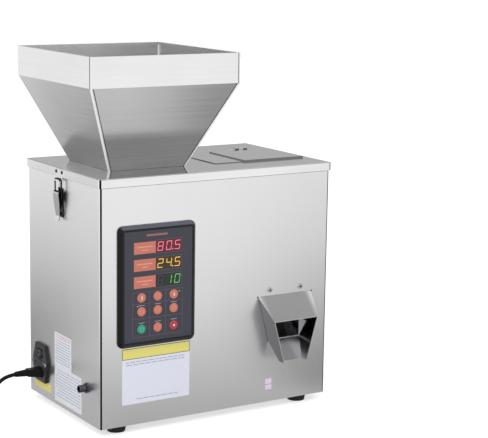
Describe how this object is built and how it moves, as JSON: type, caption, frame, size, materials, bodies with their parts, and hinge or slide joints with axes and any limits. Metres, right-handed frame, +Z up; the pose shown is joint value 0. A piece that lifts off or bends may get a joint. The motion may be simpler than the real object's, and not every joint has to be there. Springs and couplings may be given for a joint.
{
  "type": "granule weighing and filling machine",
  "caption": "Stainless benchtop filling machine: square hopper on a boxed case, keypad with displays, vibrating trough, weigh bucket and a front chute.",
  "frame": {"origin": "on the floor under the middle of the machine's box, cord and plug left out", "axes": "+X to the right along the front, +Y from the front to the back, +Z up"},
  "size_m": [0.6405, 0.2866, 0.558],
  "materials": {
    "stainless_case": "brushed vertically, satin",
    "stainless_lid": "fine brushed, half mirror",
    "stainless_hopper": "fine brushed, half mirror",
    "stainless_chute": "fine brushed, half mirror",
    "rubber_black": "matt",
    "zinc_plated": "bright zinc",
    "latch_plated": "bright nickel",
    "nickel_plated": "satin nickel",
    "bezel_plastic": "fine texture",
    "overlay_film": "satin printed film",
    "display_window": "smoked window",
    "key_orange": "domed",
    "key_green": "domed",
    "key_red": "domed",
    "circuit_board": "solder mask",
    "inlet_plastic": "moulded",
    "rocker_plastic": "polished",
    "galvanised_frame": "galvanised sheet",
    "feeder_casting": "painted",
    "spring_steel": "rolled",
    "core_steel": "laminated",
    "coil_tape": "taped",
    "load_cell_aluminium": "anodised",
    "supply_cover": "bare sheet",
    "cord_rubber": "moulded",
    "blade_brass": "plated"
  },
  "bodies": {
    "machine": {"base_bolts": "zinc_plated", "bottom_plate": "stainless_case", "bucket_door_pin": "zinc_plated", "bucket_hanger": "load_cell_aluminium", "case_screws": "zinc_plated", "case_shell": "stainless_case", "controller_board": "circuit_board", "cord_coil": "cord_rubber", "cord_connector": "cord_rubber", "cord_tail": "cord_rubber", "display_modules": "display_window", "feeder_base": "feeder_casting", "feeder_mounts": "rubber_black", "feeder_springs": "spring_steel", "flap_hinge_leaf": "zinc_plated", "flap_hinge_pin": "zinc_plated", "flap_seat_plate": "stainless_lid", "foot_switch_socket": "nickel_plated", "gearmotor": "nickel_plated", "hopper": "stainless_hopper", "inner_frame": "galvanised_frame", "inner_slide": "stainless_chute", "latch_bases": "latch_plated", "latch_keepers": "latch_plated", "latch_rivets": "zinc_plated", "lid_tray": "stainless_lid", "load_cell": "load_cell_aluminium", "magnet_coil": "coil_tape", "magnet_core": "core_steel", "mains_plug": "cord_rubber", "outlet_chute": "stainless_chute", "panel_bezel": "bezel_plastic", "panel_overlay": "overlay_film", "plug_blades": "blade_brass", "power_cord": "cord_rubber", "power_inlet": "inlet_plastic", "power_supply": "supply_cover", "rubber_feet": "rubber_black", "weigh_bucket": "stainless_hopper"},
    "flap": {"access_flap": "stainless_lid"},
    "left_lever": {"latch_left_lever": "latch_plated"},
    "left_loop": {"latch_left_loop": "latch_plated"},
    "right_lever": {"latch_right_lever": "latch_plated"},
    "right_loop": {"latch_right_loop": "latch_plated"},
    "trough": {"feeder_trough": "stainless_hopper", "feeder_armature": "core_steel", "trough_bolts": "zinc_plated"},
    "door": {"bucket_door": "stainless_hopper"},
    "crank": {"door_crank": "zinc_plated"},
    "rocker": {"rocker_switch": "rocker_plastic"},
    "drawer": {"fuse_drawer": "inlet_plastic"},
    "button_zero": {"key_zero": "key_orange"},
    "button_gain": {"key_gain": "key_orange"},
    "button_up": {"key_up": "key_orange"},
    "button_set": {"key_set": "key_orange"},
    "button_back": {"key_back": "key_orange"},
    "button_down": {"key_down": "key_orange"},
    "button_start": {"key_start": "key_green"},
    "button_mode": {"key_mode": "key_orange"},
    "button_stop": {"key_stop": "key_red"}
  },
  "joints": [
    {"name": "flap_hinge", "type": "hinge", "parent": "machine", "child": "flap", "pos_m": [0.14395, 0.05895, 0.3874], "axis": [-1, 0, 0], "range_deg": [0, 110]},
    {"name": "left_lever_hinge", "type": "hinge", "parent": "machine", "child": "left_lever", "pos_m": [-0.20275, 0.01825, 0.346], "axis": [0, 1, 0], "range_deg": [0, 95]},
    {"name": "left_loop_hinge", "type": "hinge", "parent": "left_lever", "child": "left_loop", "pos_m": [-0.20195, 0.01825, 0.339], "axis": [0, 1, 0], "range_deg": [-81, 0]},
    {"name": "right_lever_hinge", "type": "hinge", "parent": "machine", "child": "right_lever", "pos_m": [0.20765, 0.01825, 0.346], "axis": [0, -1, 0], "range_deg": [0, 95]},
    {"name": "right_loop_hinge", "type": "hinge", "parent": "right_lever", "child": "right_loop", "pos_m": [0.20685, 0.01825, 0.339], "axis": [0, -1, 0], "range_deg": [-81, 0]},
    {"name": "trough_shake", "type": "slide", "parent": "machine", "child": "trough", "axis": [0.9661, 0, 0.2582], "range_m": [-0.0004, 0.0004], "stiffness_N_per_m": 60000, "deforming": ["feeder_springs"]},
    {"name": "door_hinge", "type": "hinge", "parent": "machine", "child": "door", "pos_m": [0.12345, -0.01975, 0.241], "axis": [-1, 0, 0], "range_deg": [0, 60]},
    {"name": "crank_turn", "type": "hinge", "parent": "machine", "child": "crank", "pos_m": [0.12345, -0.01975, 0.241], "axis": [-1, 0, 0], "range_deg": [0, 60]},
    {"name": "rocker_tilt", "type": "hinge", "parent": "machine", "child": "rocker", "pos_m": [-0.20005, 0.08875, 0.0822], "axis": [0, -1, 0], "range_deg": [0, 16]},
    {"name": "fuse_drawer_slide", "type": "slide", "parent": "machine", "child": "drawer", "axis": [-1, 0, 0], "range_m": [0, 0.018]},
    {"name": "press_zero", "type": "slide", "parent": "machine", "child": "button_zero", "axis": [0, 1, 0], "range_m": [0, 0.0003], "stiffness_N_per_m": 2000},
    {"name": "press_gain", "type": "slide", "parent": "machine", "child": "button_gain", "axis": [0, 1, 0], "range_m": [0, 0.0003], "stiffness_N_per_m": 2000},
    {"name": "press_up", "type": "slide", "parent": "machine", "child": "button_up", "axis": [0, 1, 0], "range_m": [0, 0.0003], "stiffness_N_per_m": 2000},
    {"name": "press_set", "type": "slide", "parent": "machine", "child": "button_set", "axis": [0, 1, 0], "range_m": [0, 0.0003], "stiffness_N_per_m": 2000},
    {"name": "press_back", "type": "slide", "parent": "machine", "child": "button_back", "axis": [0, 1, 0], "range_m": [0, 0.0003], "stiffness_N_per_m": 2000},
    {"name": "press_down", "type": "slide", "parent": "machine", "child": "button_down", "axis": [0, 1, 0], "range_m": [0, 0.0003], "stiffness_N_per_m": 2000},
    {"name": "press_start", "type": "slide", "parent": "machine", "child": "button_start", "axis": [0, 1, 0], "range_m": [0, 0.0003], "stiffness_N_per_m": 2000},
    {"name": "press_mode", "type": "slide", "parent": "machine", "child": "button_mode", "axis": [0, 1, 0], "range_m": [0, 0.0003], "stiffness_N_per_m": 2000},
    {"name": "press_stop", "type": "slide", "parent": "machine", "child": "button_stop", "axis": [0, 1, 0], "range_m": [0, 0.0003], "stiffness_N_per_m": 2000}
  ],
  "couplings": [
    {"joint": "left_loop_hinge", "follows": "left_lever_hinge", "ratio": -0.845},
    {"joint": "right_loop_hinge", "follows": "right_lever_hinge", "ratio": -0.845},
    {"joint": "crank_turn", "follows": "door_hinge", "ratio": 1}
  ]
}
